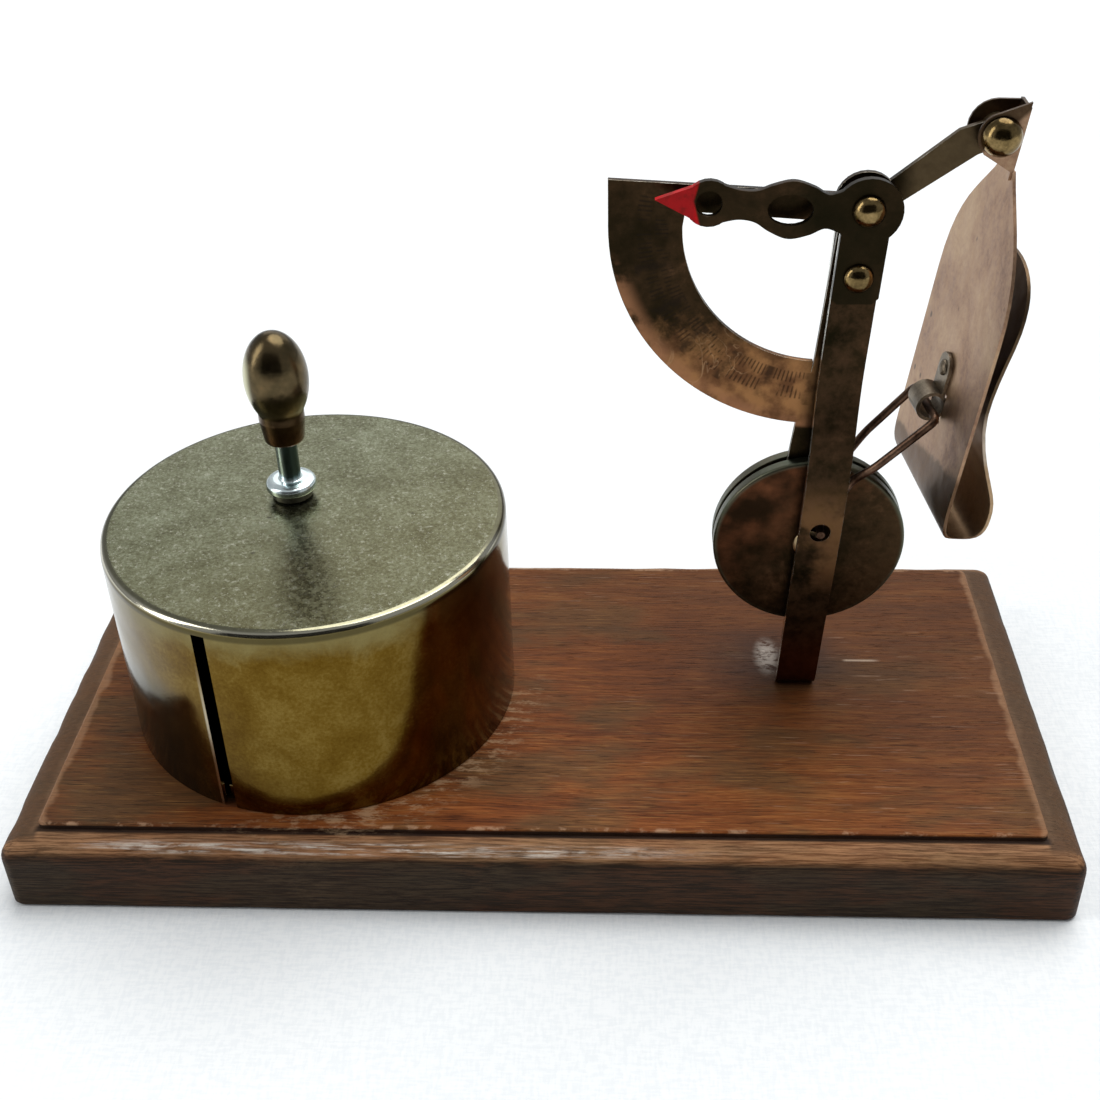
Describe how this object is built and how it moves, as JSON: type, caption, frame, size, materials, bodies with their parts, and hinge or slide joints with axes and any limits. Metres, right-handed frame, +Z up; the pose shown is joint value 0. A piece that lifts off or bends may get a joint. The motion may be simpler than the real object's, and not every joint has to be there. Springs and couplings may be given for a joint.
{
  "type": "letter scale with stamp dispenser",
  "caption": "Brass pendulum letter scale with a quadrant dial and hanging letter tray, beside a round lidded stamp dispenser with a knob, on a moulded wooden board.",
  "frame": {"origin": "centre of the board's underside", "axes": "+X along the board towards the scale, +Y towards the back, +Z up"},
  "size_m": [0.1524, 0.071, 0.1034],
  "materials": {
    "board_wood": "worn varnish",
    "tarnished_brass": "dark bronze tarnish",
    "worn_brass": "mottled satin",
    "polished_brass": "polished, tarnished",
    "rivet_brass": "polished",
    "grey_lug": "dull",
    "plated_steel": "bright zinc plate",
    "dark_steel": "oxidised"
  },
  "bodies": {
    "root": {"base_board": "board_wood", "post_strip": "tarnished_brass", "post_screw": "dark_steel", "pointer_bracket": "tarnished_brass", "bracket_rivet": "rivet_brass", "pivot_pin": "rivet_brass", "pivot_spacer_front": "worn_brass", "pivot_spacer_rear": "worn_brass", "dispenser_base": "polished_brass", "dispenser_screw_1": "worn_brass", "dispenser_screw_2": "worn_brass", "dispenser_screw_3": "worn_brass", "roll_hub": "polished_brass"},
    "beam": {"quadrant_beam": "tarnished_brass", "weight_shell_front": "tarnished_brass", "weight_shell_rear": "tarnished_brass", "weight_rivet": "worn_brass"},
    "tray": {"letter_tray": "worn_brass", "tray_pivot_rivet": "rivet_brass", "ear_spacer_front": "worn_brass", "ear_spacer_rear": "worn_brass", "tray_lug": "grey_lug", "lug_rivet": "grey_lug"},
    "link": {"wire_link": "tarnished_brass"},
    "cover": {"dispenser_cover": "polished_brass"},
    "knob": {"knob": "tarnished_brass", "knob_spindle": "plated_steel", "spindle_clip": "plated_steel"}
  },
  "joints": [
    {"name": "beam_swing", "type": "hinge", "parent": "root", "child": "beam", "pos_m": [0.04333, 0.0046, 0.0902], "axis": [0, 1, 0], "range_deg": [-3, 55]},
    {"name": "tray_swing", "type": "hinge", "parent": "beam", "child": "tray", "pos_m": [0.0589, 0.0046, 0.0992], "axis": [0, 1, 0], "range_deg": [-70, 5]},
    {"name": "link_swing", "type": "hinge", "parent": "root", "child": "link", "pos_m": [0.04065, 0.0046, 0.0423], "axis": [0, 1, 0], "range_deg": [-4, 50]},
    {"name": "cover_lift", "type": "slide", "parent": "root", "child": "cover", "axis": [0, 0, 1], "range_m": [0, 0.09]},
    {"name": "knob_turn", "type": "hinge", "parent": "cover", "child": "knob", "pos_m": [-0.0367, 0.0044, 0.05], "axis": [0, 0, 1], "continuous": true}
  ],
  "couplings": [
    {"joint": "tray_swing", "follows": "beam_swing", "ratio": -1.22},
    {"joint": "link_swing", "follows": "beam_swing", "ratio": 0.888}
  ]
}
